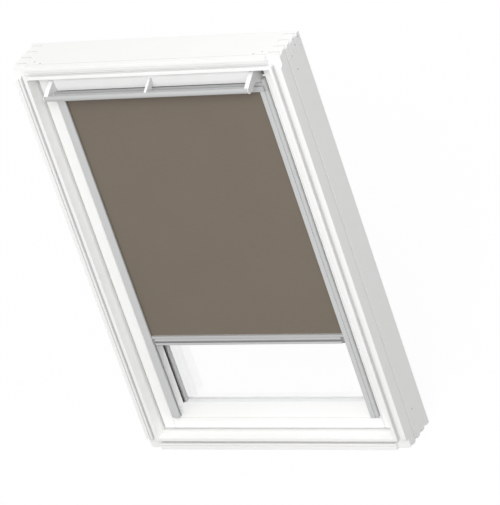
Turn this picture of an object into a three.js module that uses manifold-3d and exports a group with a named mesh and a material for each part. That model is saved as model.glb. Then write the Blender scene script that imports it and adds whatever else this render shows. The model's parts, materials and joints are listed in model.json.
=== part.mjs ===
// Centre-pivot roof window with a control bar, a ventilation flap and a roller blind in side channels.
// Lengths are millimetres. X runs across, Y from the room to the outside, Z up the slope.
// The origin is the middle of the sill's underside.

import * as THREE from 'three';
import { mergeVertices } from 'three/addons/utils/BufferGeometryUtils.js';
import Module from 'manifold-3d';

const wasm = await Module();
wasm.setup();

// Driving dimensions
const frameWidth = 780;
const frameHeight = 1178;
const frameDepth = 127;
const frameFace = 36;
const sashGap = 6.7;
const sashFace = 35;
const sashFront = 39.5;
const bevelRun = 15.3;
const glassFront = 87.5;
const glassUnitThickness = 24;
const channelWidth = 24;
const barRestHeight = 311;
const fitGap = 0.3;
const overrun = 6;
const curveSteps = 6;
const roundSides = 24;

// Places that several pieces share, as distances in from the frame's outer edge or depths from the room
const sashOuter = frameFace + sashGap;
const sashInner = sashOuter + sashFace;
const glassLine = sashInner + bevelRun;
const barHalfLength = frameWidth / 2 - glassLine;
const gasketThickness = 3.5;
const rebateFloor = glassFront - gasketThickness;
const glassBite = 14.5;
const glassEdge = glassLine - glassBite;
const rebateClearance = 3;
const rebateEdge = glassEdge - rebateClearance;
const glassBack = glassFront + glassUnitThickness;
const beadThickness = 5.5;
const sashBack = glassBack + fitGap + beadThickness;
const pivotDepth = (sashFront + sashBack) / 2;
const pivotHeight = frameHeight / 2;

// Materials
const whitePaint = () => new THREE.MeshStandardMaterial({ color: 0xf7f7f5, roughness: 0.45, metalness: 0 });
const whiteLacquer = () => new THREE.MeshStandardMaterial({ color: 0xf4f4f2, roughness: 0.3, metalness: 0 });
const bareAluminium = () => new THREE.MeshStandardMaterial({
  color: 0xc8cccc, roughness: 0.35, metalness: 0.9,
});
const galvanisedSteel = () => new THREE.MeshStandardMaterial({
  color: 0xa9adb0, roughness: 0.4, metalness: 0.9,
});
const blackRubber = () => new THREE.MeshStandardMaterial({ color: 0x1e1f20, roughness: 0.8, metalness: 0 });
const greyPlastic = () => new THREE.MeshStandardMaterial({ color: 0x84878a, roughness: 0.5, metalness: 0 });
const taupeFabric = () => new THREE.MeshStandardMaterial({ color: 0x7a7066, roughness: 0.95, metalness: 0 });
const clearGlass = () => new THREE.MeshStandardMaterial({
  color: 0xeef4f6, roughness: 0.05, metalness: 0, transparent: true, opacity: 0.35,
});

// Geometry helpers
function outline(points) {
  return new THREE.Shape(points.map(([u, v]) => new THREE.Vector2(u, v)));
}

function extrude(shape, length) {
  return new THREE.ExtrudeGeometry(shape, { depth: length, bevelEnabled: false, curveSegments: curveSteps });
}

// A section drawn as (x, y) and run up the window.
function alongZ(shape, [low, high]) {
  return extrude(shape, high - low).translate(0, 0, low);
}

// A section drawn as (y, z) and run across the window.
function alongX(shape, [low, high]) {
  const turn = new THREE.Matrix4().makeBasis(
    new THREE.Vector3(0, 1, 0),
    new THREE.Vector3(0, 0, 1),
    new THREE.Vector3(1, 0, 0),
  );
  return extrude(shape, high - low).applyMatrix4(turn).translate(low, 0, 0);
}

function block([x0, x1], [y0, y1], [z0, z1]) {
  const geometry = new THREE.BoxGeometry(x1 - x0, y1 - y0, z1 - z0);
  return geometry.translate((x0 + x1) / 2, (y0 + y1) / 2, (z0 + z1) / 2);
}

function rod(radius, [x0, x1], y, z) {
  const geometry = new THREE.CylinderGeometry(radius, radius, x1 - x0, roundSides);
  return geometry.rotateZ(Math.PI / 2).translate((x0 + x1) / 2, y, z);
}

function toSolid(geometry) {
  const bare = geometry.clone();
  bare.deleteAttribute('normal');
  bare.deleteAttribute('uv');
  const merged = mergeVertices(bare);
  return new wasm.Manifold(new wasm.Mesh({
    numProp: 3,
    vertProperties: merged.attributes.position.array,
    triVerts: Uint32Array.from(merged.index.array),
  }));
}

function toGeometry(solid) {
  const mesh = solid.getMesh();
  const geometry = new THREE.BufferGeometry();
  geometry.setAttribute('position', new THREE.BufferAttribute(new Float32Array(mesh.vertProperties), 3));
  geometry.setIndex(new THREE.BufferAttribute(new Uint32Array(mesh.triVerts), 1));
  geometry.computeVertexNormals();
  return geometry;
}

function join(...geometries) {
  const solids = geometries.map(toSolid);
  return toGeometry(solids.reduce((whole, part) => whole.add(part)));
}

function cut(geometry, ...tools) {
  return toGeometry(tools.map(toSolid).reduce((rest, tool) => rest.subtract(tool), toSolid(geometry)));
}

// The left and right halves share one description: side is -1 for left and 1 for right.
const sides = [[-1, 'left'], [1, 'right']];
const acrossAt = (side, inset) => side * (frameWidth / 2 - inset);
const span = (a, b) => [Math.min(a, b), Math.max(a, b)];
const acrossSpan = (side, outer, inner) => span(acrossAt(side, outer), acrossAt(side, inner));
const mirroredSpan = (halfLength) => [-halfLength, halfLength];

// The head and the sill share one description too: end is -1 for the sill and 1 for the head.
const ends = [[-1, 'bottom'], [1, 'top']];
const heightAt = (end, inset) => (end > 0 ? frameHeight - inset : inset);
const heightSpan = (end, outer, inner) => span(heightAt(end, outer), heightAt(end, inner));

// A member's section is written as (inset, depth) and placed on a side or an end.
const onSide = (section, side) => outline(section.map(([inset, depth]) => [acrossAt(side, inset), depth]));
const onEnd = (section, end) => outline(section.map(([inset, depth]) => [depth, heightAt(end, inset)]));

const unit = new THREE.Group();
unit.position.y = -frameDepth / 2;

function add(name, geometry, material) {
  const mesh = new THREE.Mesh(geometry, material());
  mesh.name = name;
  unit.add(mesh);
}

// Outer frame: four wooden members with a groove for the wall lining, finger-jointed at the corners
const outerLip = 10;
const lipStep = 7;
const lipStepDepth = 3.5;
const innerLip = 9;
const grooveDepth = 11;
const cornerReach = frameFace - innerLip;
const lipSlant = 6;
const fingerCount = 8;
const fingerChamfer = 5;
const fingerPlay = 0.7;
const ledgeRun = 9;
const ledgeHeight = 1;
const ledgeDepth = 46;
const slitWidth = 0.8;
const slitDepth = 17;

// The jamb's outer side falls away gently and comes back in a small ledge.
const ledge = [
  [0, ledgeDepth],
  [ledgeHeight, ledgeDepth],
  [0, ledgeDepth - ledgeRun],
];

// The head and the sill have a narrow slit there.
const slit = [
  [0, slitDepth + slitWidth / 2],
  [slitWidth, slitDepth + slitWidth / 2],
  [slitWidth, slitDepth - slitWidth / 2],
  [0, slitDepth - slitWidth / 2],
];

function frameSection(outerMark) {
  return [
    [0, 0],
    [outerLip, 0],
    [outerLip, lipStepDepth],
    [outerLip + lipStep, lipStepDepth],
    [outerLip + lipStep, grooveDepth],
    [cornerReach, grooveDepth],
    [cornerReach, 0],
    [frameFace, 0],
    [frameFace, frameDepth],
    [0, frameDepth],
    ...outerMark,
  ];
}

const fingerEdge = (index) => grooveDepth + index * (frameDepth - grooveDepth) / fingerCount;
const headFingers = Array.from({ length: fingerCount / 2 }, (_, pair) => 2 * pair + 1);

// What the corner joint takes from a jamb: its lips, the head's fingers and the outer corner.
function jambCornerCuts(side, end) {
  const farOut = heightAt(end, -overrun);
  const acrossWhole = acrossSpan(side, -overrun, frameFace + overrun);
  const lipStop = heightAt(end, cornerReach);
  const slantStop = heightAt(end, cornerReach + lipSlant);
  const lips = block(acrossWhole, [-overrun, grooveDepth], heightSpan(end, -overrun, cornerReach));
  const slant = outline([
    [grooveDepth, lipStop], [0, slantStop], [-overrun, slantStop], [-overrun, farOut], [grooveDepth, farOut],
  ]);
  const lipEnd = alongX(slant, acrossSpan(side, -overrun, cornerReach));
  const sockets = headFingers.map((index) => block(
    acrossWhole,
    [fingerEdge(index), index === fingerCount - 1 ? frameDepth + overrun : fingerEdge(index + 1)],
    heightSpan(end, -overrun, frameFace + fitGap),
  ));
  const corner = outline([
    [acrossAt(side, -overrun), heightAt(end, fingerChamfer + overrun)],
    [acrossAt(side, -overrun), farOut],
    [acrossAt(side, fingerChamfer + overrun), farOut],
  ]);
  const turn = new THREE.Matrix4().makeBasis(
    new THREE.Vector3(1, 0, 0),
    new THREE.Vector3(0, 0, 1),
    new THREE.Vector3(0, -1, 0),
  );
  const chamfer = extrude(corner, frameDepth + 2 * overrun).applyMatrix4(turn);
  return [lips, lipEnd, ...sockets, chamfer.translate(0, frameDepth + overrun, 0)];
}

for (const [side, sideName] of sides) {
  const post = alongZ(onSide(frameSection(ledge), side), [0, frameHeight]);
  const cuts = ends.flatMap(([end]) => jambCornerCuts(side, end));
  add(`frame_jamb_${sideName}`, cut(post, ...cuts), whitePaint);
}

// Latch sizes that the head, the top rail and the flap are cut for
const boltHalfWidth = 8;
const boltThickness = 8;
const boltFront = 46.5;
const boltTip = 1.7;
const boltLength = 22;
const boltPocketDepth = 10;
const tabHalfWidth = 6;
const tabThickness = 4;
const tabFront = 19;
const boltSpan = [boltFront, boltFront + boltThickness];
const boltRestTop = frameHeight - sashOuter + boltTip;
const wider = ([low, high], gap) => [low - gap, high + gap];

function frameCrossMember(end) {
  const halfBetween = frameWidth / 2 - frameFace - fitGap;
  const beam = alongX(onEnd(frameSection(slit), end), mirroredSpan(halfBetween));
  const fingers = headFingers.map((index) => block(
    mirroredSpan(frameWidth / 2),
    [fingerEdge(index) + fingerPlay, fingerEdge(index + 1) - (index === fingerCount - 1 ? 0 : fitGap)],
    heightSpan(end, 0, frameFace),
  ));
  return join(beam, ...fingers);
}

const keeperPocket = block(
  wider(mirroredSpan(boltHalfWidth), fitGap),
  wider(boltSpan, fitGap),
  span(heightAt(1, frameFace + overrun), heightAt(1, frameFace - boltPocketDepth)),
);
add('frame_sill', frameCrossMember(-1), whitePaint);
add('frame_head', cut(frameCrossMember(1), keeperPocket), whitePaint);

// Weather seals in the running gap round the sash
const sealThickness = 3.2;
const sealSpan = [102, 108];

for (const [side, sideName] of sides) {
  const across = acrossSpan(side, frameFace + fitGap, frameFace + fitGap + sealThickness);
  const up = [frameFace + fitGap, frameHeight - frameFace - fitGap];
  add(`seal_jamb_${sideName}`, block(across, sealSpan, up), blackRubber);
}
for (const [end, endName] of ends) {
  const halfLength = frameWidth / 2 - frameFace - 2 * fitGap - sealThickness;
  const up = heightSpan(end, frameFace + fitGap, frameFace + fitGap + sealThickness);
  add(`seal_${endName}`, block(mirroredSpan(halfLength), sealSpan, up), blackRubber);
}

// Sash: two stiles, and two rails coped round them. The top rail is set back behind the flap.
const quirkInset = 30.5;
const quirkWidth = 2.4;
const quirkDepth = 3;
const sashSection = [
  [sashOuter, sashFront],
  [sashOuter + quirkInset, sashFront],
  [sashOuter + quirkInset + quirkWidth / 2, sashFront + quirkDepth],
  [sashOuter + quirkInset + quirkWidth, sashFront],
  [sashInner, sashFront],
  [glassLine, rebateFloor],
  [rebateEdge, rebateFloor],
  [rebateEdge, glassBack],
  [sashOuter, glassBack],
];
const bevelAt = (depth) => sashInner + (depth - sashFront) * bevelRun / (rebateFloor - sashFront);

// Pivot hinge sizes that the stiles are bored for
const pinRadius = 6;
const pinReach = 14;

const stileUp = [sashOuter, frameHeight - sashOuter];
const stileBeam = (side, up) => alongZ(onSide(sashSection, side), up);
for (const [side, sideName] of sides) {
  const boreSpan = acrossSpan(side, sashOuter - overrun, sashOuter + pinReach + fitGap);
  const bore = rod(pinRadius + fitGap, boreSpan, pivotDepth, pivotHeight);
  add(`sash_stile_${sideName}`, cut(stileBeam(side, stileUp), bore), whitePaint);
}

const ventFront = 70;
const topRailSection = [
  [sashOuter, ventFront],
  [bevelAt(ventFront), ventFront],
  [glassLine, rebateFloor],
  [rebateEdge, rebateFloor],
  [rebateEdge, glassBack],
  [sashOuter, glassBack],
];

function railBeam(section, end) {
  const beam = alongX(onEnd(section, end), mirroredSpan(frameWidth / 2 - sashInner - fitGap));
  const copeUp = wider(stileUp, overrun);
  const copes = sides.map(([side]) => stileBeam(side, copeUp).translate(-side * fitGap, 0, 0));
  return cut(beam, ...copes);
}

add('sash_bottom_rail', railBeam(sashSection, -1), whitePaint);
add('sash_top_rail', railBeam(topRailSection, 1), whitePaint);

// Insulating glass: two panes, four spacer bars, four gaskets and four outside beads
const paneThickness = 4;
const spacerInset = 5;
const spacerShow = 5;
const spacerCrossSet = 3;
const gasketBite = 12;
const gasketShow = 2.5;
const gasketCrossShow = 0.3;
const beadInset = 3;
const beadShow = 1;
const beadNose = 1.5;
const beadSlope = 4;
const innerPane = [glassFront, glassFront + paneThickness];
const outerPane = [glassBack - paneThickness, glassBack];
const cavity = [innerPane[1] + fitGap, outerPane[0] - fitGap];

function pane(depthSpan) {
  return block(mirroredSpan(frameWidth / 2 - glassEdge), depthSpan, [glassEdge, frameHeight - glassEdge]);
}
add('glass_inner_pane', pane(innerPane), clearGlass);
add('glass_outer_pane', pane(outerPane), clearGlass);

// Four lengths round the glass: the uprights run through, and the cross lengths stop short of them.
function addRing(name, material, uprightSection, crossSection = uprightSection) {
  const outer = Math.min(...uprightSection.map(([inset]) => inset));
  const inner = Math.max(...uprightSection.map(([inset]) => inset));
  for (const [side, sideName] of sides) {
    const upright = alongZ(onSide(uprightSection, side), [outer, frameHeight - outer]);
    add(`${name}_${sideName}`, upright, material);
  }
  for (const [end, endName] of ends) {
    const halfLength = frameWidth / 2 - inner - fitGap;
    add(`${name}_${endName}`, alongX(onEnd(crossSection, end), mirroredSpan(halfLength)), material);
  }
}

const rectangle = ([inset0, inset1], [depth0, depth1]) => [
  [inset0, depth0], [inset1, depth0], [inset1, depth1], [inset0, depth1],
];
addRing(
  'spacer',
  bareAluminium,
  rectangle([glassEdge + spacerInset, glassLine + spacerShow], cavity),
  rectangle([glassEdge + spacerInset, glassLine - spacerCrossSet], cavity),
);
const gasketDepths = [rebateFloor + fitGap, glassFront - fitGap];
addRing(
  'gasket',
  blackRubber,
  rectangle([glassLine - gasketBite, glassLine + gasketShow], gasketDepths),
  rectangle([glassLine - gasketBite, glassLine + gasketCrossShow], gasketDepths),
);
const beadBase = glassBack + fitGap;
addRing('bead', bareAluminium, [
  [sashOuter + beadInset, beadBase],
  [glassLine + beadShow, beadBase],
  [glassLine + beadShow, beadBase + beadNose],
  [glassLine - beadSlope, sashBack],
  [sashOuter + beadInset, sashBack],
]);

// Pivot hinges: a plate with a pin on the frame, a friction washer and a plate with a hole on the sash
const plateThickness = 2;
const plateHalfLength = 90;
const plateHalfWidth = 20;
const washerRadius = 16;

function plateShape() {
  return outline([
    [pivotDepth - plateHalfWidth, pivotHeight - plateHalfLength],
    [pivotDepth + plateHalfWidth, pivotHeight - plateHalfLength],
    [pivotDepth + plateHalfWidth, pivotHeight + plateHalfLength],
    [pivotDepth - plateHalfWidth, pivotHeight + plateHalfLength],
  ]);
}

const pivotRod = (radius, xSpan) => rod(radius, xSpan, pivotDepth, pivotHeight);
for (const [side, sideName] of sides) {
  const framePlate = [frameFace + fitGap, frameFace + fitGap + plateThickness];
  const sashPlate = [sashOuter - fitGap - plateThickness, sashOuter - fitGap];
  const pinSpan = acrossSpan(side, framePlate[0], sashOuter + pinReach);
  const plate = alongX(plateShape(), acrossSpan(side, ...framePlate));
  add(`hinge_frame_plate_${sideName}`, join(plate, pivotRod(pinRadius, pinSpan)), galvanisedSteel);
  const hole = pivotRod(pinRadius + fitGap, acrossSpan(side, frameFace, sashOuter + overrun));
  const washerSpan = acrossSpan(side, framePlate[1] + fitGap, sashPlate[0] - fitGap);
  add(`friction_washer_${sideName}`, cut(pivotRod(washerRadius, washerSpan), hole), greyPlastic);
  const sashSidePlate = alongX(plateShape(), acrossSpan(side, ...sashPlate));
  add(`hinge_sash_plate_${sideName}`, cut(sashSidePlate, hole), galvanisedSteel);
}

// Latch: the keeper under the head, the case in front of the top rail and the bolt with its tab
const keeperThickness = 2;
const keeperHalfWidth = 32;
const keeperBorder = 7;
const keeper = block(
  mirroredSpan(keeperHalfWidth),
  wider(boltSpan, keeperBorder),
  heightSpan(1, frameFace + fitGap, frameFace + fitGap + keeperThickness),
);
add('latch_keeper', cut(keeper, keeperPocket), galvanisedSteel);

const caseHalfWidth = 21;
const caseDepthSpan = [42.5, ventFront - fitGap];
const caseHeight = 30;
const caseTop = frameHeight - sashOuter - fitGap;
const caseUp = [caseTop - caseHeight, caseTop];
const caseBlock = block(mirroredSpan(caseHalfWidth), caseDepthSpan, caseUp);
const boltWay = block(
  wider(mirroredSpan(boltHalfWidth), fitGap),
  wider(boltSpan, fitGap),
  wider(caseUp, overrun),
);
const tabWay = block(
  wider(mirroredSpan(tabHalfWidth), fitGap),
  [caseDepthSpan[0] - overrun, boltSpan[1]],
  [caseUp[0] - overrun, boltRestTop - boltLength + tabThickness + fitGap],
);
add('latch_case', cut(caseBlock, boltWay, tabWay), galvanisedSteel);

const boltUp = [boltRestTop - boltLength, boltRestTop];
const bolt = block(mirroredSpan(boltHalfWidth), boltSpan, boltUp);
const tab = block(mirroredSpan(tabHalfWidth), [tabFront, boltSpan[1]], [boltUp[0], boltUp[0] + tabThickness]);
add('latch_bolt', join(bolt, tab), galvanisedSteel);

// Ventilation flap: a bent panel in front of the top rail, with end brackets, a middle bracket and the bar
const flapTopGap = 8;
const flapHeight = 37;
const flapFront = 15;
const flapWall = 2.5;
const flapTail = 31;
const flapKneeDrop = 22;
const flapChinSet = 5.5;
const bracketThickness = 10;
const middleBracketThickness = 7;
const flapTop = frameHeight - frameFace - flapTopGap;
const flapBottom = flapTop - flapHeight;
const flapBack = sashFront - fitGap;
const bracketInner = barHalfLength - bracketThickness;

// The control bar's section stands in front of the panel, and its points are shares of its depth and height.
const barFront = -33;
const barDepth = 15.5;
const barTopDrop = 24.5;
const barHeight = 15;
const barTop = flapTop - barTopDrop;
const barBottom = barTop - barHeight;
const barShares = [
  [1, 1], [0.26, 1], [0.12, 0.88], [0.03, 0.68], [0, 0.45], [0.05, 0.24], [0.18, 0.08], [0.38, 0], [1, 0.06],
];
const barSection = barShares.map(([across, up]) => [
  barFront + across * barDepth,
  barBottom + up * barHeight,
]);
add('control_bar', alongX(outline(barSection), mirroredSpan(barHalfLength)), bareAluminium);

const flapSection = [
  [flapBack, flapTop],
  [flapFront, flapTop],
  [flapFront, flapTop - flapKneeDrop],
  [flapFront + flapChinSet, flapBottom],
  [flapTail, flapBottom],
  [flapTail, flapBottom + flapWall],
  [flapFront + flapChinSet + flapWall, flapBottom + flapWall],
  [flapFront + flapWall, flapTop - flapKneeDrop],
  [flapFront + flapWall, flapTop - flapWall],
  [flapBack, flapTop - flapWall],
];
const ribHalfWidth = 5;
const ribDepth = 8;
const ribGap = 1.5;
const ribBottom = boltUp[0] + tabThickness + ribGap;
const rib = block(
  mirroredSpan(ribHalfWidth),
  [flapFront + flapWall / 2, flapFront + flapWall + ribDepth],
  [ribBottom, flapTop - flapWall / 2],
);
const panel = alongX(outline(flapSection), mirroredSpan(bracketInner - fitGap));
add('flap_panel', join(panel, rib), whiteLacquer);

// A bracket's arm runs from the panel's top to the bar, and its underside is hollowed for the fingers.
const bracketSet = 1.5;
const bracketTopDrop = 3;
const bracketBack = 50;
const capThickness = 2;
const barBack = barFront + barDepth;
const armTip = [barFront + barDepth / 4, barTop + fitGap];
const fingerArchShares = [
  [0.07, 0.25], [0.14, 0.48], [0.25, 0.63], [0.38, 0.62], [0.49, 0.5], [0.6, 0.33], [0.69, 0.08],
];
const armShares = [[0.2, 0.26], [0.42, 0.48], [0.66, 0.72], [0.85, 0.87]];

function armPoints() {
  const shoulder = [flapFront + bracketSet, flapTop - bracketTopDrop];
  return [
    [armTip[0], armTip[1]],
    ...armShares.map(([across, up]) => [
      armTip[0] + across * (shoulder[0] - armTip[0]),
      armTip[1] + up * (shoulder[1] - armTip[1]),
    ]),
    shoulder,
  ];
}

const hingeDepth = 35;
const hingeRise = 2;
const hingeHeight = flapBottom + hingeRise;
const hingePinRadius = 2.5;
const rootDrop = 8;
const rootBottom = flapBottom - rootDrop;
const noseDrop = 17;
const noseBottom = barTop - noseDrop;
const archSpan = bracketBack - barBack;
const archPoints = fingerArchShares.toReversed().map(([across, up]) => [
  barBack + fitGap + across * archSpan,
  rootBottom + up * (barTop - rootBottom),
]);
const endBracketPoints = [
  ...armPoints(),
  [bracketBack, flapTop - bracketTopDrop],
  [bracketBack, rootBottom],
  ...archPoints,
  [barBack + fitGap, noseBottom],
  [barBack + fitGap, barTop + fitGap],
];
const hingePinReach = 6;
const pinHole = (side) => rod(
  hingePinRadius + fitGap,
  span(side * (bracketInner - overrun), side * (bracketInner + hingePinReach + fitGap)),
  hingeDepth,
  hingeHeight,
);

// An end bracket is an arm that stands on the bar, with a thin cap outside it that also covers the bar's end.
const capRim = 1;
const capFront = [
  [barFront + capRim, barTop + capRim],
  [barFront - capRim, barTop - barHeight / 3],
  [barFront - capRim, barTop - barHeight / 2],
  [barFront + capRim, barBottom + capRim],
  [barFront + barDepth / 3, barBottom - capRim],
  [barBack + capRim, barBottom - capRim],
];
const capPoints = [
  ...armPoints(),
  [bracketBack, flapTop - bracketTopDrop],
  [bracketBack, rootBottom],
  ...archPoints,
  ...capFront.toReversed(),
];
for (const [side, sideName] of sides) {
  const capInner = barHalfLength + fitGap;
  const arm = alongX(outline(endBracketPoints), span(side * bracketInner, side * capInner));
  const cap = alongX(outline(capPoints), span(side * capInner, side * (capInner + capThickness)));
  add(`bracket_${sideName}`, cut(join(arm, cap), pinHole(side)), whiteLacquer);
}

const middleBracketPoints = [
  ...armPoints().slice(0, -1),
  [flapFront - fitGap, flapTop - 2 * bracketTopDrop],
  [flapFront - fitGap, flapTop - flapKneeDrop],
  [barBack + fitGap, noseBottom],
  [barBack + fitGap, barTop + fitGap],
];
add(
  'bracket_middle',
  alongX(outline(middleBracketPoints), mirroredSpan(middleBracketThickness / 2)),
  whiteLacquer,
);

// Flap pivots: a rounded lug behind each end of the panel, with a pin into the bracket beside it
const lugThickness = 8;
const lugRadius = 3.6;
const lugHeight = 12;
for (const [side, sideName] of sides) {
  const lugOuter = bracketInner - fitGap;
  const lugSpan = span(side * (lugOuter - lugThickness), side * lugOuter);
  const lugUp = [hingeHeight - lugRadius, hingeHeight + lugHeight];
  const base = block(lugSpan, [hingeDepth, ventFront - fitGap], lugUp);
  const nose = rod(lugRadius, lugSpan, hingeDepth, hingeHeight);
  const pinSpan = span(side * (lugOuter - lugThickness / 2), side * (bracketInner + hingePinReach));
  const pin = rod(hingePinRadius, pinSpan, hingeDepth, hingeHeight);
  add(`flap_pivot_${sideName}`, join(base, nose, pin), greyPlastic);
}

// Blind: side channels with a slot for the fabric's edge, closed by a foot
const channelFront = 30;
const channelBack = 44.5;
const channelChamfer = 2.5;
const flangeWidth = 9;
const flangeFront = 33;
const slotSpan = [37.5, 43];
const slotReach = 12;
const footThickness = 3;
const channelOuter = bevelAt(channelBack) + fitGap;
const channelInner = channelOuter + channelWidth;
const cassetteDrop = 12.8;
const cassetteTop = frameHeight - sashInner - cassetteDrop;
const cassetteFace = channelWidth + fitGap;
const channelTop = cassetteTop - cassetteFace - fitGap;
const channelRim = [
  [channelOuter, flangeFront],
  [channelOuter + flangeWidth, flangeFront],
  [channelOuter + flangeWidth, channelFront],
  [channelInner - channelChamfer, channelFront],
  [channelInner, channelFront + channelChamfer],
];
const channelSection = [
  ...channelRim,
  [channelInner, slotSpan[0]],
  [channelInner - slotReach, slotSpan[0]],
  [channelInner - slotReach, slotSpan[1]],
  [channelInner, slotSpan[1]],
  [channelInner, channelBack],
  [channelOuter, channelBack],
];
const footSection = [...channelRim, [channelInner, channelBack], [channelOuter, channelBack]];
const footUp = [channelOuter, channelOuter + footThickness];
for (const [side, sideName] of sides) {
  const channelUp = [footUp[1] + fitGap, channelTop];
  add(`channel_${sideName}`, alongZ(onSide(channelSection, side), channelUp), bareAluminium);
  add(`channel_foot_${sideName}`, alongZ(onSide(footSection, side), footUp), greyPlastic);
}

// Roller, with the fabric still wound on it, in a cassette whose face matches the channels
const fabricThickness = 0.6;
const fabricDepth = (slotSpan[0] + slotSpan[1]) / 2;
const rollRadius = 10.6;
const fullRollRadius = 13.3;
const tubeRadius = 9;
const tubeWall = 1;
const cassetteWall = 1.2;
const cassetteLipDrop = 5.5;
const rollerHeight = cassetteTop - cassetteWall - fullRollRadius;
const rollerDepth = fabricDepth + fabricThickness / 2 + fitGap + rollRadius;
const cassetteBack = rollerDepth + fullRollRadius + cassetteWall;
const cassetteBottom = cassetteTop - cassetteFace;
const cassetteLip = cassetteBottom - cassetteLipDrop;
const cassetteLipFront = channelBack + fitGap;
const cassetteStep = cassetteTop - flangeWidth;
const cassetteFront = [
  [channelFront, cassetteBottom],
  [channelFront, cassetteStep],
  [flangeFront, cassetteStep],
  [flangeFront, cassetteTop],
];
const cassetteSection = [
  ...cassetteFront,
  [cassetteBack, cassetteTop],
  [cassetteBack, cassetteLip],
  [cassetteLipFront, cassetteLip],
  [cassetteLipFront, cassetteLip + cassetteWall],
  [cassetteBack - cassetteWall, cassetteLip + cassetteWall],
  [cassetteBack - cassetteWall, cassetteTop - cassetteWall],
  [slotSpan[0] - fitGap, cassetteTop - cassetteWall],
  [slotSpan[0] - fitGap, cassetteBottom],
];
const endPlateThickness = 2.5;
const endPlateOuter = frameWidth / 2 - bevelAt(cassetteBack) - endPlateThickness / 2;
const endPlateInner = endPlateOuter - endPlateThickness;
const cassetteHalf = endPlateInner - fitGap;
add('cassette_shell', alongX(outline(cassetteSection), mirroredSpan(cassetteHalf)), bareAluminium);

const gudgeonRadius = 2.5;
const earRise = 10;
for (const [side, sideName] of sides) {
  const plateOutline = [
    ...cassetteFront,
    [cassetteBack, cassetteTop],
    [cassetteBack, cassetteLip],
    [cassetteLipFront, cassetteLip],
    [cassetteLipFront, cassetteBottom],
  ];
  const earOutline = [
    [flangeFront, cassetteBottom],
    [flangeFront, cassetteTop + earRise],
    [channelBack, cassetteTop + earRise],
    [channelBack, cassetteBottom],
  ];
  const plate = alongX(outline(plateOutline), span(side * endPlateInner, side * endPlateOuter));
  const earSpan = span(side * (endPlateInner + endPlateThickness / 2), acrossAt(side, channelOuter));
  const hole = rod(
    gudgeonRadius + fitGap,
    span(side * (endPlateInner - overrun), side * (endPlateOuter + overrun)),
    rollerDepth,
    rollerHeight,
  );
  add(`cassette_end_${sideName}`, cut(join(plate, alongX(outline(earOutline), earSpan)), hole), greyPlastic);
}

const rollerEndGap = 2;
const rollerHalf = cassetteHalf - rollerEndGap;
const plugLength = 8;
const cartridgeHalfLength = 90;

// Round pieces on the roller's axis
const rollerRod = (radius, xSpan) => rod(radius, xSpan, rollerDepth, rollerHeight);
function sleeve(outerRadius, innerRadius, halfLength) {
  const wall = rollerRod(outerRadius, mirroredSpan(halfLength));
  return cut(wall, rollerRod(innerRadius, mirroredSpan(halfLength + overrun)));
}
const tubeBore = tubeRadius - tubeWall;
add('roller_tube', sleeve(tubeRadius, tubeBore, rollerHalf), bareAluminium);
add('fabric_roll', sleeve(rollRadius, tubeRadius + fitGap, rollerHalf), taupeFabric);
const cartridge = rollerRod(tubeBore - fitGap, mirroredSpan(cartridgeHalfLength));
add('spring_cartridge', cartridge, greyPlastic);
for (const [side, sideName] of sides) {
  const plugSpan = span(side * (rollerHalf - plugLength), side * rollerHalf);
  const gudgeonSpan = span(side * (rollerHalf - plugLength / 2), side * endPlateOuter);
  const plug = rollerRod(tubeBore - fitGap, plugSpan);
  const gudgeon = rollerRod(gudgeonRadius, gudgeonSpan);
  add(`roller_plug_${sideName}`, join(plug, gudgeon), greyPlastic);
}

// Bottom bar: a strip that holds the hem, a bead, a groove and a lip to pull, with a shoe in each channel
const railHeight = 25;
const stripHeight = 7.5;
const stripFront = 34;
const lipFront = 29.5;
const runGap = 0.5;
const lipEndInset = 8;
const railBack = slotSpan[1] - fitGap;
const railTop = barRestHeight + railHeight;
const railHalf = frameWidth / 2 - channelInner - runGap;
const lipHalf = railHalf - lipEndInset;
const stripBottom = railTop - stripHeight;
const gripDepth = railBack - lipFront;
const gripHeight = railHeight - stripHeight;
const gripShares = [
  [0.16, 0.94], [0.11, 0.8], [0.16, 0.66], [0.49, 0.6], [0.49, 0.37], [0.11, 0.34], [0, 0.18], [0.08, 0],
];
const gripPoints = gripShares.map(([across, up]) => [
  lipFront + across * gripDepth,
  barRestHeight + up * gripHeight,
]);
const railSection = [
  [railBack, railTop],
  [stripFront, railTop],
  [stripFront, stripBottom],
  ...gripPoints,
  [railBack, barRestHeight],
];
const strip = block(mirroredSpan(railHalf), [stripFront, railBack], [stripBottom, railTop]);
add('bottom_bar', join(alongX(outline(railSection), mirroredSpan(lipHalf)), strip), bareAluminium);

const shoeFront = 33;
const shoeReach = 10.5;
const shoeSpan = [slotSpan[0] + runGap, slotSpan[1] - runGap];
for (const [side, sideName] of sides) {
  const cap = block(
    span(side * (lipHalf + fitGap), side * railHalf),
    [shoeFront, railBack],
    [barRestHeight, stripBottom - fitGap],
  );
  const runner = block(
    span(side * (railHalf + fitGap), side * (railHalf + runGap + shoeReach)),
    shoeSpan,
    [barRestHeight, railTop],
  );
  const neck = block(
    span(side * (railHalf - fitGap), side * (railHalf + 2 * fitGap)),
    shoeSpan,
    [barRestHeight, stripBottom - fitGap],
  );
  add(`shoe_${sideName}`, join(cap, neck, runner), greyPlastic);
}

const fabricHalf = railHalf + shoeReach;
add(
  'blind_fabric',
  block(
    mirroredSpan(fabricHalf),
    [fabricDepth - fabricThickness / 2, fabricDepth + fabricThickness / 2],
    [railTop + fitGap, rollerHeight],
  ),
  taupeFabric,
);

export default unit;
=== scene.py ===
"""A white centre-pivot roof window with a grey-brown roller blind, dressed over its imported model."""

import json
import math

import bmesh
import bpy
from mathutils import Matrix, Vector


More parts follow.
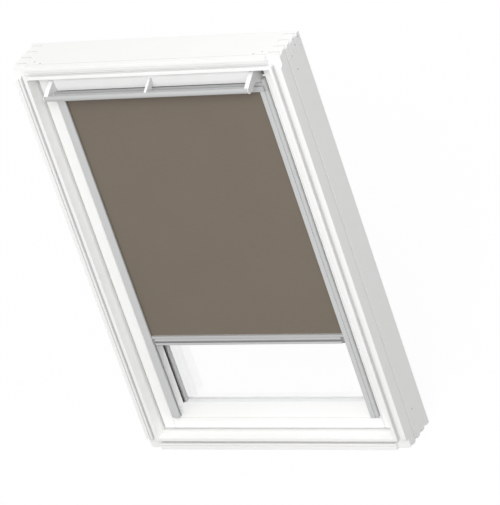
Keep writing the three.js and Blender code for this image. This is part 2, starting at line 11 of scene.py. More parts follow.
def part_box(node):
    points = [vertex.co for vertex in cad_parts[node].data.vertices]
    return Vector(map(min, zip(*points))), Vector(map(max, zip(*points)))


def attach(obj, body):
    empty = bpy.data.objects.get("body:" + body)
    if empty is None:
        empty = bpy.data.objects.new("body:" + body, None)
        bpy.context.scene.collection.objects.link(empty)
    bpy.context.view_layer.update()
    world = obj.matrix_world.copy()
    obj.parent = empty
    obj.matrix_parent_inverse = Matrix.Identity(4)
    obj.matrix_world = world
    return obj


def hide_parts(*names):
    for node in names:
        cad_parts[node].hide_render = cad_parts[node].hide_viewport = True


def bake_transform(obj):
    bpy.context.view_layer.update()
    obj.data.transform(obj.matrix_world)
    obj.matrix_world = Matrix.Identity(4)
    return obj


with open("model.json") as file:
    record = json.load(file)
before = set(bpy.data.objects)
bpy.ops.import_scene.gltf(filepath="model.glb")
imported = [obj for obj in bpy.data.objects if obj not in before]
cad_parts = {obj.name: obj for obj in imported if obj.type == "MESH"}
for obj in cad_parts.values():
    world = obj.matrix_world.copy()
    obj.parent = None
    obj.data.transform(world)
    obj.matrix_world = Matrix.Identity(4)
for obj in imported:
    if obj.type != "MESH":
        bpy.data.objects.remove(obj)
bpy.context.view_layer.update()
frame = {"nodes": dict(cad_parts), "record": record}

MM = 0.001
X_AXIS = 0
Z_AXIS = 2
SIDES = (("left", -1), ("right", 1))
ENDS = (("top", 1), ("bottom", -1))


# Camera: fitted to the photo's frame, sash and glass edges
CAMERA_PLACE = Vector((6.1693, -8.7389, 6.1778))
CAMERA_RIGHT = Vector((0.86232, 0.41436, -0.29105))
CAMERA_UP = Vector((0.01831, 0.54889, 0.83569))
CAMERA_LENS = 336.77
SENSOR_HEIGHT = 36.0
CAMERA_NEAR = 0.5
CAMERA_FAR = 80.0


def make_camera():
    data = bpy.data.cameras.new("camera")
    data.sensor_fit = "VERTICAL"
    data.sensor_height = SENSOR_HEIGHT
    data.lens = CAMERA_LENS
    data.clip_start = CAMERA_NEAR
    data.clip_end = CAMERA_FAR
    camera = bpy.data.objects.new("camera", data)
    right = CAMERA_RIGHT.normalized()
    back = right.cross(CAMERA_UP).normalized()
    up = back.cross(right)
    turn = Matrix((right, up, back)).transposed().to_4x4()
    camera.matrix_world = Matrix.Translation(CAMERA_PLACE) @ turn
    bpy.context.scene.collection.objects.link(camera)
    bpy.context.scene.camera = camera


# Light: a broad soft lamp in front and above, a weaker one behind,
# and a surround that is brighter in front and overhead
WHITE = (1.0, 1.0, 1.0, 1.0)
SEEN_STRENGTH = 1.0
SURROUND_FRONT = 0.85
SURROUND_BACK = 0.27
SURROUND_TURN = 0.5
SURROUND_ABOVE = 0.22
LAMP_AIM = Vector((0.0, 0.0, 0.6))
LAMP_DISTANCE = 6.5
LAMP_PLACE = LAMP_AIM + LAMP_DISTANCE * Vector((0.38, -0.74, 0.555))
LAMP_SIZE = 3.0
LAMP_POWER = 212.0
FILL_PLACE = LAMP_AIM + LAMP_DISTANCE * Vector((-0.25, 0.94, 0.23))
FILL_POWER = 98.0


def make_lamp(name, place, aim, size, power):
    data = bpy.data.lights.new(name, "AREA")
    data.shape = "DISK"
    data.size = size
    data.energy = power
    lamp = bpy.data.objects.new(name, data)
    lamp.location = place
    lamp.rotation_euler = (aim - place).to_track_quat("-Z", "Y").to_euler()
    bpy.context.scene.collection.objects.link(lamp)


def white_for_sight(nodes, links):
    """A factor of 1 for rays that look, mirror or see through, and 0 for rays that light."""
    path = nodes.new("ShaderNodeLightPath")
    first = nodes.new("ShaderNodeMath")
    first.operation = "MAXIMUM"
    links.new(path.outputs["Is Camera Ray"], first.inputs[0])
    links.new(path.outputs["Is Glossy Ray"], first.inputs[1])
    second = nodes.new("ShaderNodeMath")
    second.operation = "MAXIMUM"
    links.new(first.outputs[0], second.inputs[0])
    links.new(path.outputs["Is Transmission Ray"], second.inputs[1])
    return second.outputs[0]


def make_world():
    world = bpy.data.worlds.new("studio")
    bpy.context.scene.world = world
    world.use_nodes = True
    nodes = world.node_tree.nodes
    links = world.node_tree.links
    nodes.clear()
    place = nodes.new("ShaderNodeTexCoord")
    parts = nodes.new("ShaderNodeSeparateXYZ")
    links.new(place.outputs["Generated"], parts.inputs[0])
    depth = nodes.new("ShaderNodeMapRange")
    depth.inputs["From Min"].default_value = -SURROUND_TURN
    depth.inputs["From Max"].default_value = SURROUND_TURN
    depth.inputs["To Min"].default_value = SURROUND_FRONT
    depth.inputs["To Max"].default_value = SURROUND_BACK
    links.new(parts.outputs["Y"], depth.inputs["Value"])
    height = nodes.new("ShaderNodeMapRange")
    height.inputs["To Max"].default_value = SURROUND_ABOVE
    links.new(parts.outputs["Z"], height.inputs["Value"])
    level = nodes.new("ShaderNodeMath")
    level.operation = "ADD"
    links.new(depth.outputs["Result"], level.inputs[0])
    links.new(height.outputs["Result"], level.inputs[1])
    ambient = nodes.new("ShaderNodeBackground")
    ambient.inputs["Color"].default_value = WHITE
    links.new(level.outputs[0], ambient.inputs["Strength"])
    seen = nodes.new("ShaderNodeBackground")
    seen.inputs["Color"].default_value = WHITE
    seen.inputs["Strength"].default_value = SEEN_STRENGTH
    mix = nodes.new("ShaderNodeMixShader")
    out = nodes.new("ShaderNodeOutputWorld")
    links.new(white_for_sight(nodes, links), mix.inputs["Fac"])
    links.new(ambient.outputs[0], mix.inputs[1])
    links.new(seen.outputs[0], mix.inputs[2])
    links.new(mix.outputs[0], out.inputs["Surface"])


# Floor: pale, with the object's own soft shadow on it
FLOOR_HALF = 30.0
FLOOR_SEEN = (0.98, 0.98, 0.98, 1.0)
FLOOR_LIT = (0.3, 0.3, 0.3, 1.0)
FLOOR_WHITENESS = 0.93
FLOOR_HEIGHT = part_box("frame_sill")[0][Z_AXIS]


def make_floor():
    mesh = bpy.data.meshes.new("floor")
    corners = [(-FLOOR_HALF, -FLOOR_HALF), (FLOOR_HALF, -FLOOR_HALF),
               (FLOOR_HALF, FLOOR_HALF), (-FLOOR_HALF, FLOOR_HALF)]
    mesh.from_pydata([(x, y, FLOOR_HEIGHT) for x, y in corners], [], [(0, 1, 2, 3)])
    floor = bpy.data.objects.new("floor", mesh)
    bpy.context.scene.collection.objects.link(floor)
    material = bpy.data.materials.new("pale_floor")
    material.use_nodes = True
    nodes = material.node_tree.nodes
    links = material.node_tree.links
    nodes.clear()
    lighting = nodes.new("ShaderNodeBsdfDiffuse")
    lighting.inputs["Color"].default_value = FLOOR_LIT
    shaded = nodes.new("ShaderNodeBsdfDiffuse")
    shaded.inputs["Color"].default_value = FLOOR_SEEN
    glow = nodes.new("ShaderNodeEmission")
    glow.inputs["Color"].default_value = WHITE
    glow.inputs["Strength"].default_value = SEEN_STRENGTH
    seen = nodes.new("ShaderNodeMixShader")
    seen.inputs["Fac"].default_value = FLOOR_WHITENESS
    links.new(shaded.outputs[0], seen.inputs[1])
    links.new(glow.outputs[0], seen.inputs[2])
    mix = nodes.new("ShaderNodeMixShader")
    out = nodes.new("ShaderNodeOutputMaterial")
    links.new(white_for_sight(nodes, links), mix.inputs["Fac"])
    links.new(lighting.outputs[0], mix.inputs[1])
    links.new(seen.outputs[0], mix.inputs[2])
    links.new(mix.outputs[0], out.inputs["Surface"])
    mesh.materials.append(material)


# Materials
class Shader:
    """A material with one Principled shader, and short ways to wire detail into it."""

    def __init__(self, name):
        self.material = bpy.data.materials.new(name)
        self.material.use_nodes = True
        self.nodes = self.material.node_tree.nodes
        self.links = self.material.node_tree.links
        self.main = self.nodes["Principled BSDF"]
        self.place = self.nodes.new("ShaderNodeTexCoord")

    def set(self, values):
        for socket, value in values.items():
            self.main.inputs[socket].default_value = value

    def stretched(self, scale):
        mapping = self.nodes.new("ShaderNodeMapping")
        mapping.inputs["Scale"].default_value = scale
        self.links.new(self.place.outputs["Object"], mapping.inputs["Vector"])
        return mapping.outputs[0]

    def noise(self, scale, detail=2.0, vector=None):
        node = self.nodes.new("ShaderNodeTexNoise")
        node.inputs["Scale"].default_value = scale
        node.inputs["Detail"].default_value = detail
        self.links.new(vector or self.place.outputs["Object"], node.inputs["Vector"])
        return node.outputs["Fac"]

    def streaks(self, run_axis, across, along, detail):
        """Noise with its own scale along one axis."""
        scale = [across] * 3
        scale[run_axis] = along
        return self.noise(1.0, detail, self.stretched(scale))

    def wave(self, scale, axis, distortion):
        node = self.nodes.new("ShaderNodeTexWave")
        node.wave_type = "BANDS"
        node.bands_direction = axis
        node.inputs["Scale"].default_value = scale
        node.inputs["Distortion"].default_value = distortion
        self.links.new(self.place.outputs["Object"], node.inputs["Vector"])
        return node.outputs["Fac"]

    def maths(self, operation, first, second):
        node = self.nodes.new("ShaderNodeMath")
        node.operation = operation
        for socket, value in zip(node.inputs, (first, second)):
            if isinstance(value, (int, float)):
                socket.default_value = value
            else:
                self.links.new(value, socket)
        return node.outputs[0]

    def ramp(self, value, low, high, colour_low, colour_high):
        node = self.nodes.new("ShaderNodeValToRGB")
        node.color_ramp.elements[0].position = low
        node.color_ramp.elements[1].position = high
        node.color_ramp.elements[0].color = colour_low
        node.color_ramp.elements[1].color = colour_high
        self.links.new(value, node.inputs["Fac"])
        return node.outputs["Color"]

    def between(self, value, low, high):
        node = self.nodes.new("ShaderNodeMapRange")
        node.inputs["To Min"].default_value = low
        node.inputs["To Max"].default_value = high
        self.links.new(value, node.inputs["Value"])
        return node.outputs["Result"]

    def painted_groove_shade(self, colour, groove_shade):
        """Painted shade: the colour, brought down to a share of itself where ambient occlusion finds the
        piece's own crevices.
        """
        for reach, share in groove_shade:
            nearby = self.nodes.new("ShaderNodeAmbientOcclusion")
            nearby.only_local = True
            nearby.inputs["Distance"].default_value = reach
            scaled = self.nodes.new("ShaderNodeVectorMath")
            scaled.operation = "SCALE"
            self.links.new(colour, scaled.inputs[0])
            self.links.new(self.between(nearby.outputs["AO"], share, 1.0), scaled.inputs["Scale"])
            colour = scaled.outputs[0]
        return colour

    def colour(self, socket):
        self.links.new(socket, self.main.inputs["Base Color"])

    def roughness(self, socket):
        self.links.new(socket, self.main.inputs["Roughness"])

    def bump(self, socket, strength, depth):
        node = self.nodes.new("ShaderNodeBump")
        node.inputs["Strength"].default_value = strength
        node.inputs["Distance"].default_value = depth
        self.links.new(socket, node.inputs["Height"])
        self.links.new(node.outputs[0], self.main.inputs["Normal"])


# Painted crevice shade: how far the darkening reaches, and the share of the colour that is left deep
# inside
FRAME_GROOVE_SHADE = [(14 * MM, 0.72), (3 * MM, 0.45)]
SASH_GROOVE_SHADE = [(3 * MM, 0.85)]
BAR_GROOVE_SHADE = [(6 * MM, 0.33)]


# How the low and the high tone of a material share out its noise
EVEN_SPREAD = (0.3, 0.7)

PAINT_COLOURS = [(0.93, 0.93, 0.918, 1), (0.945, 0.945, 0.935, 1)]
PAINT_ROUGHNESS = (0.38, 0.46)
PAINT_BUMP = (0.02, 0.1 * MM)
PAINT_IOR = 1.48
PAINT_FILM = 420.0
PAINT_CLOUD = 6.0
GRAIN_ACROSS = 260.0
GRAIN_ALONG = 7.0
GRAIN_DETAIL = 3.0
FILM_DETAIL = 1.0


def white_paint(name, grain_axis, groove_shade):
    """Satin paint over pine: nearly even, with a trace of the grain, and painted shade darkening its
    crevices.
    """
    shader = Shader(name)
    grain = shader.streaks(grain_axis, GRAIN_ACROSS, GRAIN_ALONG, GRAIN_DETAIL)
    film = shader.noise(PAINT_FILM, FILM_DETAIL)
    cloud = shader.noise(PAINT_CLOUD)
    tone = shader.ramp(cloud, *EVEN_SPREAD, *PAINT_COLOURS)
    # Painted shade: the tone is darkened in the piece's own crevices, where ambient occlusion finds them
    shader.colour(shader.painted_groove_shade(tone, groove_shade))
    shader.roughness(shader.between(cloud, *PAINT_ROUGHNESS))
    shader.bump(shader.maths("ADD", grain, film), *PAINT_BUMP)
    shader.set({"IOR": PAINT_IOR})
    return shader.material


def toned(colour, tone):
    """A colour times a tone, with full cover."""
    return tuple(channel * tone for channel in colour) + (1,)


LACQUER_TONE = 0.89
# Painted shade: the brackets' side faces get a darker copy of the lacquer, as if they were in shade
SHADED_CHEEK_TONE = 0.64
SHADED_CHEEK_FACING = 0.8
LACQUER_LOW = (0.98, 0.98, 0.975)
LACQUER_HIGH = (1.02, 1.02, 1.015)
LACQUER_ROUGHNESS = (0.42, 0.5)
LACQUER_BUMP = (0.05, 0.1 * MM)
LACQUER_FILM = 300.0
LACQUER_CLOUD = 9.0


def white_lacquer(name, tone):
    """Sprayed lacquer in a tone of white."""
    shader = Shader(name)
    film = shader.noise(LACQUER_FILM, FILM_DETAIL)
    cloud = shader.noise(LACQUER_CLOUD)
    low = toned(LACQUER_LOW, tone)
    high = toned(LACQUER_HIGH, tone)
    shader.colour(shader.ramp(cloud, *EVEN_SPREAD, low, high))
    shader.roughness(shader.between(cloud, *LACQUER_ROUGHNESS))
    shader.bump(film, *LACQUER_BUMP)
    return shader.material


ALUMINIUM_LOW = (0.57, 0.578, 0.574)
ALUMINIUM_HIGH = (0.624, 0.632, 0.628)
ALUMINIUM_SHINE = 0.45
ALUMINIUM_ROUGHNESS = 0.4
ALUMINIUM_ROUGHNESS_SPAN = 0.1
ALUMINIUM_BUMP = (0.08, 0.1 * MM)
EXTRUSION_ACROSS = 1500.0
EXTRUSION_ALONG = 4.0
EXTRUSION_DETAIL = 2.0
CASSETTE_TONE = 0.86
CASSETTE_SHINE = 0.3
HANDLE_TONE = 0.84
HANDLE_SHINE = 0.2
HANDLE_ROUGHNESS = 0.3


def satin_aluminium(
        name, run_axis, tone=1.0, shine=ALUMINIUM_SHINE, roughness=ALUMINIUM_ROUGHNESS, groove_shade=()):
    """Anodised aluminium with fine extrusion lines along its run, and the share of it that mirrors;
    painted shade darkens its crevices when a reach is given.
    """
    shader = Shader(name)
    lines = shader.streaks(run_axis, EXTRUSION_ACROSS, EXTRUSION_ALONG, EXTRUSION_DETAIL)
    low = toned(ALUMINIUM_LOW, tone)
    high = toned(ALUMINIUM_HIGH, tone)
    metal = shader.ramp(lines, *EVEN_SPREAD, low, high)
    # Painted shade: the metal is darkened in its own crevices, when any reach is given
    shader.colour(shader.painted_groove_shade(metal, groove_shade))
    shader.roughness(shader.between(lines, roughness, roughness + ALUMINIUM_ROUGHNESS_SPAN))
    shader.bump(lines, *ALUMINIUM_BUMP)
    shader.set({"Metallic": shine})
    return shader.material


# Finishes with one noise in their colour, roughness and surface. The pale rubber is the glazing tape and
# the spacer along the level edges of the glass.
FINISHES = {
    "zinc_steel": {
        "scale": 160.0, "detail": 3.0, "spread": (0.35, 0.65),
        "colours": [(0.4, 0.41, 0.42, 1), (0.5, 0.51, 0.52, 1)],
        "roughness": (0.28, 0.42), "bump": (0.06, 0.2 * MM), "metallic": 1.0,
    },
    "matt_rubber": {
        "scale": 700.0, "detail": 2.0, "spread": (0.3, 0.75),
        "colours": [(0.045, 0.045, 0.045, 1), (0.07, 0.07, 0.071, 1)],
        "roughness": (0.62, 0.8), "bump": (0.2, 0.2 * MM), "metallic": 0.0,
    },
    "pale_rubber": {
        "scale": 700.0, "detail": 2.0, "spread": (0.3, 0.75),
        "colours": [(0.92, 0.925, 0.93, 1), (0.95, 0.955, 0.96, 1)],
        "roughness": (0.5, 0.65), "bump": (0.1, 0.1 * MM), "metallic": 0.0,
    },
    "moulded_plastic": {
        "scale": 900.0, "detail": 2.0, "spread": EVEN_SPREAD,
        "colours": [(0.24, 0.25, 0.26, 1), (0.28, 0.29, 0.3, 1)],
        "roughness": (0.45, 0.58), "bump": (0.15, 0.1 * MM), "metallic": 0.0,
    },
    # Painted shade: near-black slivers set into the finger-joint gaps
    "painted_joint_shade": {
        "scale": 400.0, "detail": 2.0, "spread": EVEN_SPREAD,
        "colours": [(0.05, 0.048, 0.045, 1), (0.08, 0.077, 0.072, 1)],
        "roughness": (0.6, 0.8), "bump": None, "metallic": 0.0,
    },
}


def plain_finish(name):
    finish = FINISHES[name]
    shader = Shader(name)
    speckle = shader.noise(finish["scale"], finish["detail"])
    shader.colour(shader.ramp(speckle, *finish["spread"], *finish["colours"]))
    shader.roughness(shader.between(speckle, *finish["roughness"]))
    if finish["bump"]:
        shader.bump(speckle, *finish["bump"])
    shader.set({"Metallic": finish["metallic"]})
    return shader.material


THREAD_SCALE = 520.0
THREAD_WOBBLE = 0.4
SLUB_ACROSS = 40.0
SLUB_ALONG = 900.0
SLUB_DETAIL = 3.0
CLOTH_CLOUD = 5.0
WEAVE_SHARE = 0.2
SLUB_SHARE = 0.55
CLOUD_SHARE = 0.25
CLOTH_SPREAD = (0.2, 0.75)
CLOTH_COLOURS = [(0.173, 0.144, 0.115, 1), (0.213, 0.18, 0.147, 1)]
CLOTH_ROUGHNESS = (0.82, 0.95)
CLOTH_BUMP = (0.06, 0.2 * MM)
CLOTH_SPECULAR = 0.2


def blind_cloth():
    """A close plain weave: threads both ways, over and under, with slightly uneven yarn."""
    shader = Shader("blind_cloth")
    warp = shader.wave(THREAD_SCALE, "X", THREAD_WOBBLE)
    weft = shader.wave(THREAD_SCALE, "Z", THREAD_WOBBLE)
    weave = shader.maths("MULTIPLY", warp, weft)
    slub = shader.streaks(Z_AXIS, SLUB_ACROSS, SLUB_ALONG, SLUB_DETAIL)
    cloud = shader.noise(CLOTH_CLOUD)
    yarn = shader.maths("ADD", shader.maths("MULTIPLY", weave, WEAVE_SHARE),
                        shader.maths("MULTIPLY", slub, SLUB_SHARE))
    tone = shader.maths("ADD", yarn, shader.maths("MULTIPLY", cloud, CLOUD_SHARE))
    shader.colour(shader.ramp(tone, *CLOTH_SPREAD, *CLOTH_COLOURS))
    shader.roughness(shader.between(slub, *CLOTH_ROUGHNESS))
    shader.bump(shader.maths("ADD", weave, slub), *CLOTH_BUMP)
    shader.set({"Specular IOR Level": CLOTH_SPECULAR})
    return shader.material


GLASS_COLOUR = (0.998, 1.0, 0.999, 1.0)
GLASS_IOR = 1.5
GLASS_LETS_THROUGH = (0.985, 0.988, 0.99, 1.0)


def float_glass():
    """Clear glass that mirrors and bends what is seen, and lets light fall through it."""
    shader = Shader("float_glass")
    shader.set({
        "Base Color": GLASS_COLOUR,
        "Roughness": 0.0,
        "IOR": GLASS_IOR,
        "Transmission Weight": 1.0,
    })
    path = shader.nodes.new("ShaderNodeLightPath")
    lighting = shader.maths("MAXIMUM", path.outputs["Is Shadow Ray"], path.outputs["Is Diffuse Ray"])
    clear = shader.nodes.new("ShaderNodeBsdfTransparent")
    clear.inputs["Color"].default_value = GLASS_LETS_THROUGH
    mix = shader.nodes.new("ShaderNodeMixShader")
    shader.links.new(lighting, mix.inputs["Fac"])
    shader.links.new(shader.main.outputs[0], mix.inputs[1])
    shader.links.new(clear.outputs[0], mix.inputs[2])
    shader.links.new(mix.outputs[0], shader.nodes["Material Output"].inputs["Surface"])
    return shader.material


# Rounded copies of the hard-edged pieces
DISSOLVE_ANGLE = math.radians(0.5)
BEVEL_ANGLE = math.radians(28.0)
SMOOTH_ANGLE = math.radians(32.0)
MERGE_DISTANCE = 0.01 * MM
EASE_SEGMENTS = 3


def rounded(node, radius, material):
    """A copy of a node whose corners are eased, which stands in its place."""
    source = frame["nodes"][node]
    mesh = source.data.copy()
    mesh.name = f"{node}_shape"
    shell = bmesh.new()
    shell.from_mesh(mesh)
    bmesh.ops.remove_doubles(shell, verts=shell.verts, dist=MERGE_DISTANCE)
    bmesh.ops.dissolve_limit(
        shell, angle_limit=DISSOLVE_ANGLE, verts=shell.verts, edges=shell.edges)
    shell.to_mesh(mesh)
    shell.free()
    mesh.materials.clear()
    mesh.materials.append(material)
    piece = bpy.data.objects.new(f"{node}_eased", mesh)
    bpy.context.scene.collection.objects.link(piece)
    bevel = piece.modifiers.new("ease", "BEVEL")
    bevel.width = radius
    bevel.segments = EASE_SEGMENTS
    bevel.limit_method = "ANGLE"
    bevel.angle_limit = BEVEL_ANGLE
    bevel.use_clamp_overlap = True
    bake_modifiers(piece)
    piece.data.shade_smooth()
    piece.data.set_sharp_from_angle(angle=SMOOTH_ANGLE)
    flat = piece.modifiers.new("flat_faces", "WEIGHTED_NORMAL")
    flat.keep_sharp = True
    bake_modifiers(piece)
    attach(piece, body_of[node])
    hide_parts(node)
    return piece


def bake_modifiers(piece):
    bpy.context.view_layer.update()
    graph = bpy.context.evaluated_depsgraph_get()
    mesh = bpy.data.meshes.new_from_object(piece.evaluated_get(graph))
    piece.modifiers.clear()
    piece.data = mesh


body_of = {
    node: body
    for body, members in frame["record"]["behaviour"]["bodies"].items()
    for node in members
}


def dress(material, *names):
    """Gives carried-over nodes their better material."""
    for name in names:
        for place in frame["nodes"][name].material_slots:
            place.material = material


def both(name):
    return [f"{name}_left", f"{name}_right"]


WOOD_EASE = 0.8 * MM
JOINT_EASE = 0.35 * MM
PANEL_EASE = 0.9 * MM
CHANNEL_EASE = 1.4 * MM
METAL_EASE = 0.5 * MM
FINE_EASE = 0.3 * MM


def dress_wood():
    jamb_paint = white_paint("jamb_paint", Z_AXIS, FRAME_GROOVE_SHADE)
    sill_paint = white_paint("sill_paint", X_AXIS, FRAME_GROOVE_SHADE)
    stile_paint = white_paint("stile_paint", Z_AXIS, SASH_GROOVE_SHADE)
    rail_paint = white_paint("rail_paint", X_AXIS, SASH_GROOVE_SHADE)
    for name in both("frame_jamb"):
        rounded(name, JOINT_EASE, jamb_paint)
    for name in ("frame_sill", "frame_head"):
        rounded(name, JOINT_EASE, sill_paint)
    for name in both("sash_stile"):
        rounded(name, WOOD_EASE, stile_paint)
    for name in ("sash_bottom_rail", "sash_top_rail"):
        rounded(name, WOOD_EASE, rail_paint)


def painted_side_shade(piece, material, axis, least):
    """Gives the faces that look along an axis a second material, here a darker copy that paints shade on
    a piece's sides.
    """
    piece.data.materials.append(material)
    for face in piece.data.polygons:
        if abs(face.normal[axis]) > least:
            face.material_index = 1


def dress_flap():
    lacquer = white_lacquer("flap_lacquer", LACQUER_TONE)
    # Painted shade: the brackets' faces that look along X get the darker lacquer
    shaded_cheek = white_lacquer("bracket_cheek_painted_shade", SHADED_CHEEK_TONE)
    metal = satin_aluminium("bar_aluminium", X_AXIS, HANDLE_TONE, HANDLE_SHINE, HANDLE_ROUGHNESS)
    rounded("flap_panel", METAL_EASE, lacquer)
    for name in both("bracket") + ["bracket_middle"]:
        bracket = rounded(name, PANEL_EASE, lacquer)
        painted_side_shade(bracket, shaded_cheek, X_AXIS, SHADED_CHEEK_FACING)
    rounded("control_bar", PANEL_EASE, metal)


def dress_blind():
    upright = satin_aluminium("channel_aluminium", Z_AXIS)
    # The cassette's aluminium gets painted shade in its crevices
    level = satin_aluminium(
        "cassette_aluminium", X_AXIS, CASSETTE_TONE, CASSETTE_SHINE, groove_shade=BAR_GROOVE_SHADE)
    plastic = plain_finish("moulded_plastic")
    for name in both("channel"):
        rounded(name, CHANNEL_EASE, upright)
    for name in both("cassette_end") + ["cassette_shell", "bottom_bar"]:
        rounded(name, METAL_EASE, level)
    for name in both("channel_foot"):
        rounded(name, FINE_EASE, upright)
    small = both("shoe") + both("roller_plug") + both("flap_pivot") + both("friction_washer")
    for name in small + ["spring_cartridge"]:
        rounded(name, FINE_EASE, plastic)
    dress(level, "roller_tube")


def dress_hardware(zinc):
    names = both("hinge_frame_plate") + both("hinge_sash_plate")
    for name in names + ["latch_keeper", "latch_case", "latch_bolt"]:
        rounded(name, METAL_EASE, zinc)


def dress_glazing():
    glass = float_glass()
    rubber = plain_finish("matt_rubber")
    pale = plain_finish("pale_rubber")
    upright = satin_aluminium("spacer_aluminium", Z_AXIS)
    white_coat = white_lacquer("bead_lacquer", LACQUER_TONE)
    dress(glass, "glass_inner_pane", "glass_outer_pane")
    for name in both("gasket") + both("seal_jamb") + ["seal_bottom", "seal_top"]:
        rounded(name, METAL_EASE, rubber)
    for end in ("bottom", "top"):
        rounded(f"gasket_{end}", METAL_EASE, pale)
        rounded(f"spacer_{end}", METAL_EASE, pale)
        rounded(f"bead_{end}", METAL_EASE, white_coat)
    for name in both("bead"):
        rounded(name, METAL_EASE, white_coat)
    for name in both("spacer"):
        rounded(name, METAL_EASE, upright)


# Blind cloth: one taut sheet from the roll to the bar, and the turns still on the roll
CLOTH_COLUMNS = 48
CLOTH_RIPPLE = 0.12 * MM
CLOTH_RIPPLES = 3.0


def make_cloth(material):
    low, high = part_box("blind_fabric")
    middle = (low[1] + high[1]) / 2
    width = high[0] - low[0]
    places = []
    for column in range(CLOTH_COLUMNS + 1):
        share = column / CLOTH_COLUMNS
        across = low[0] + share * width
        lift = CLOTH_RIPPLE * math.sin(CLOTH_RIPPLES * math.tau * share)
        places.append((across, middle + lift, low[2]))
        places.append((across, middle + lift, high[2]))
    faces = [(2 * c, 2 * c + 2, 2 * c + 3, 2 * c + 1) for c in range(CLOTH_COLUMNS)]
    mesh = bpy.data.meshes.new("blind_sheet")
    mesh.from_pydata(places, [], faces)
    mesh.materials.append(material)
    mesh.shade_smooth()
    cloth = bpy.data.objects.new("blind_sheet", mesh)
    bpy.context.scene.collection.objects.link(cloth)
    thicken(cloth, high[1] - low[1])
    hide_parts("blind_fabric")
    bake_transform(cloth)


def thicken(piece, thickness):
    solid = piece.modifiers.new("thickness", "SOLIDIFY")
    solid.thickness = thickness
    solid.offset = 0.0
    bake_modifiers(piece)
    piece.data.shade_smooth()
    piece.data.set_sharp_from_angle(angle=SMOOTH_ANGLE)


ROLL_SIDES = 40
ROLL_TURNS = 2
ROLL_CLEARANCE = 0.2 * MM
ROLL_LAYER_SHARE = 0.7


def make_roll(material):
    """The turns left on the tube, wound as a spiral, so that the end shows the layers."""
    low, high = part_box("fabric_roll")
    tube_low, tube_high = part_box("roller_tube")
    centre_y = (low[1] + high[1]) / 2
    centre_z = (low[2] + high[2]) / 2
    outer = (high[2] - low[2]) / 2
    inner = (tube_high[2] - tube_low[2]) / 2 + ROLL_CLEARANCE
    cloth_low, cloth_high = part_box("blind_fabric")
    steps = ROLL_TURNS * ROLL_SIDES
    path = []
    for step in range(steps + 1):
        share = step / steps
        angle = math.pi + share * ROLL_TURNS * math.tau
        radius = inner + share * (outer - inner)
        path.append((centre_y + radius * math.cos(angle), centre_z + radius * math.sin(angle)))
    places = [(x, y, z) for y, z in path for x in (cloth_low[0], cloth_high[0])]
    faces = [(2 * s, 2 * s + 2, 2 * s + 3, 2 * s + 1) for s in range(steps)]
    mesh = bpy.data.meshes.new("blind_turns")
    mesh.from_pydata(places, [], faces)
    mesh.materials.append(material)
    mesh.shade_smooth()
    roll = bpy.data.objects.new("blind_turns", mesh)
    bpy.context.scene.collection.objects.link(roll)
    thicken(roll, (outer - inner) / ROLL_TURNS * ROLL_LAYER_SHARE)
    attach(roll, body_of["fabric_roll"])
    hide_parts("fabric_roll")


# Small fasteners. Each ring of a head has its reach and its rise as shares of the radius, from the foot
# over the dome and down into the recess, and says whether it follows the recess's lobes.
SCREW_SIDES = 24
SCREW_LOBES = 6
SCREW_LOBE_DEPTH = 0.14
SCREW_RECESS = 0.42
SCREW_RECESS_FOOT = 0.92
SCREW_RINGS = [
    (1.0, -0.1, False), (1.0, 0.06, False), (0.88, 0.26, False), (0.6, 0.38, False),
    (SCREW_RECESS, 0.4, True), (SCREW_RECESS * SCREW_RECESS_FOOT, 0.06, True),
]


def screw_head(name, place, outward, radius, material, body):
    """A low domed head with a six-lobed recess."""
    shell = bmesh.new()
    loops = []
    for share, rise, lobed in SCREW_RINGS:
        loop = []
        for side in range(SCREW_SIDES):
            angle = math.tau * side / SCREW_SIDES
            reach = share * (1 + SCREW_LOBE_DEPTH * math.cos(SCREW_LOBES * angle) * lobed)
            loop.append(shell.verts.new((
                radius * reach * math.cos(angle), radius * reach * math.sin(angle), radius * rise)))
        loops.append(loop)
    for lower, upper in zip(loops, loops[1:]):
        for side in range(SCREW_SIDES):
            other = (side + 1) % SCREW_SIDES
            shell.faces.new((lower[side], lower[other], upper[other], upper[side]))
    shell.faces.new(list(reversed(loops[0])))
    shell.faces.new(loops[-1])
    turn = Vector(outward).to_track_quat("Z", "Y").to_matrix().to_4x4()
    bmesh.ops.transform(shell, matrix=Matrix.Translation(place) @ turn, verts=shell.verts)
    finish_piece(shell, name, material, body)


def finish_piece(shell, name, material, body):
    mesh = bpy.data.meshes.new(name)
    bmesh.ops.recalc_face_normals(shell, faces=shell.faces)
    shell.to_mesh(mesh)
    shell.free()
    mesh.materials.append(material)
    mesh.shade_smooth()
    mesh.set_sharp_from_angle(angle=SMOOTH_ANGLE)
    piece = bpy.data.objects.new(name, mesh)
    bpy.context.scene.collection.objects.link(piece)
    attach(piece, body)
    return piece


# Painted joint shade: a dark sliver at the front of each of the head's and sill's fingers, standing in
# for the shade in the joint gap
JOINT_SHADE_INSET = 0.1 * MM
JOINT_SHADE_SIDE_INSET = 3 * MM
JOINT_SHADE_THICKNESS = 0.5 * MM
JOINT_SHADE_GAP = 0.1 * MM
FINGER_REACH = 36 * MM
FINGER_CHAMFER = 5 * MM
FINGER_NEAR = 2 * MM
FINGER_DIGITS = 5


def finger_starts(side, end):
    """Depths at which a corner's fingers begin: every other depth that the head or sill has there."""
    node = frame["nodes"]["frame_head" if end == "top" else "frame_sill"]
    low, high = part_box(f"frame_jamb_{side}")
    outer = high[0] if side == "right" else low[0]
    depths = sorted({
        round(point.y, FINGER_DIGITS)
        for point in (node.matrix_world @ vertex.co for vertex in node.data.vertices)
        if abs(point.x - outer) < FINGER_NEAR
    })
    return depths[::2]


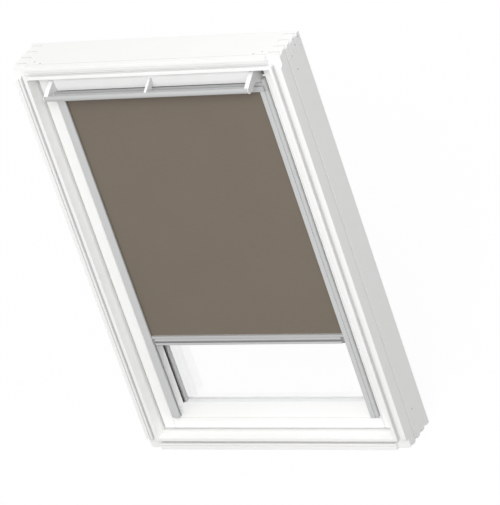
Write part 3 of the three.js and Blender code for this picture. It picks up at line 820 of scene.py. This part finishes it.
def dress_joint_shade(material):
    for side, towards in SIDES:
        low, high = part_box(f"frame_jamb_{side}")
        outer = (high[0] if side == "right" else low[0]) - towards * JOINT_SHADE_SIDE_INSET
        for end, upward in ENDS:
            tip = (high[2] if end == "top" else low[2]) - upward * JOINT_SHADE_INSET
            for index, start in enumerate(finger_starts(side, end)):
                joint_shade_sliver(f"glue_{side}_{end}_{index}", outer, tip, start, towards, upward, material)


def joint_shade_sliver(name, outer, tip, start, towards, upward, material):
    reach = FINGER_REACH - JOINT_SHADE_SIDE_INSET - JOINT_SHADE_INSET
    chamfer = FINGER_CHAMFER - JOINT_SHADE_SIDE_INSET + 2 * JOINT_SHADE_INSET
    outline = [
        (outer - towards * reach, tip), (outer - towards * chamfer, tip), (outer, tip - upward * chamfer),
        (outer, tip - upward * reach), (outer - towards * reach, tip - upward * reach),
    ]
    back = start - JOINT_SHADE_GAP
    shell = bmesh.new()
    loops = [[shell.verts.new((x, y, z)) for x, z in outline] for y in (back - JOINT_SHADE_THICKNESS, back)]
    shell.faces.new(loops[0])
    shell.faces.new(list(reversed(loops[1])))
    for place in range(len(outline)):
        after = (place + 1) % len(outline)
        shell.faces.new((loops[0][after], loops[0][place], loops[1][place], loops[1][after]))
    finish_piece(shell, name, material, "frame")


# Heads of the pins driven through the finger joints: depth from the front, and distance from the end
PIN_RADIUS = 2.0 * MM
SIDE_PINS = {
    "top": [(115 * MM, 10 * MM), (92 * MM, 20 * MM), (64 * MM, 36 * MM), (70 * MM, 77 * MM)],
    "bottom": [(71 * MM, 81 * MM)],
}
HEAD_PINS = [(31 * MM, 57 * MM), (22 * MM, 78 * MM)]


def dress_pins(material):
    for side, towards in SIDES:
        low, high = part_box(f"frame_jamb_{side}")
        outer = high[0] if side == "right" else low[0]
        for end, places in SIDE_PINS.items():
            for index, (depth, distance) in enumerate(places):
                height = high[2] - distance if end == "top" else low[2] + distance
                screw_head(f"joint_pin_{side}_{end}_{index}", Vector((outer, low[1] + depth, height)),
                           (towards, 0, 0), PIN_RADIUS, material, "frame")
        for index, (depth, distance) in enumerate(HEAD_PINS):
            place = Vector((outer - towards * distance, low[1] + depth, high[2]))
            screw_head(f"head_pin_{side}_{index}", place, (0, 0, 1), PIN_RADIUS, material, "frame")


make_camera()
make_world()
make_lamp("soft_lamp", LAMP_PLACE, LAMP_AIM, LAMP_SIZE, LAMP_POWER)
make_lamp("fill_lamp", FILL_PLACE, LAMP_AIM, LAMP_SIZE, FILL_POWER)
make_floor()
dress_wood()
dress_flap()
dress_blind()
steel = plain_finish("zinc_steel")
dress_hardware(steel)
dress_pins(steel)
# Painted shade in the finger-joint gaps
dress_joint_shade(plain_finish("painted_joint_shade"))
dress_glazing()
cloth_material = blind_cloth()
make_cloth(cloth_material)
make_roll(cloth_material)

bpy.context.scene.view_settings.view_transform = "Standard"
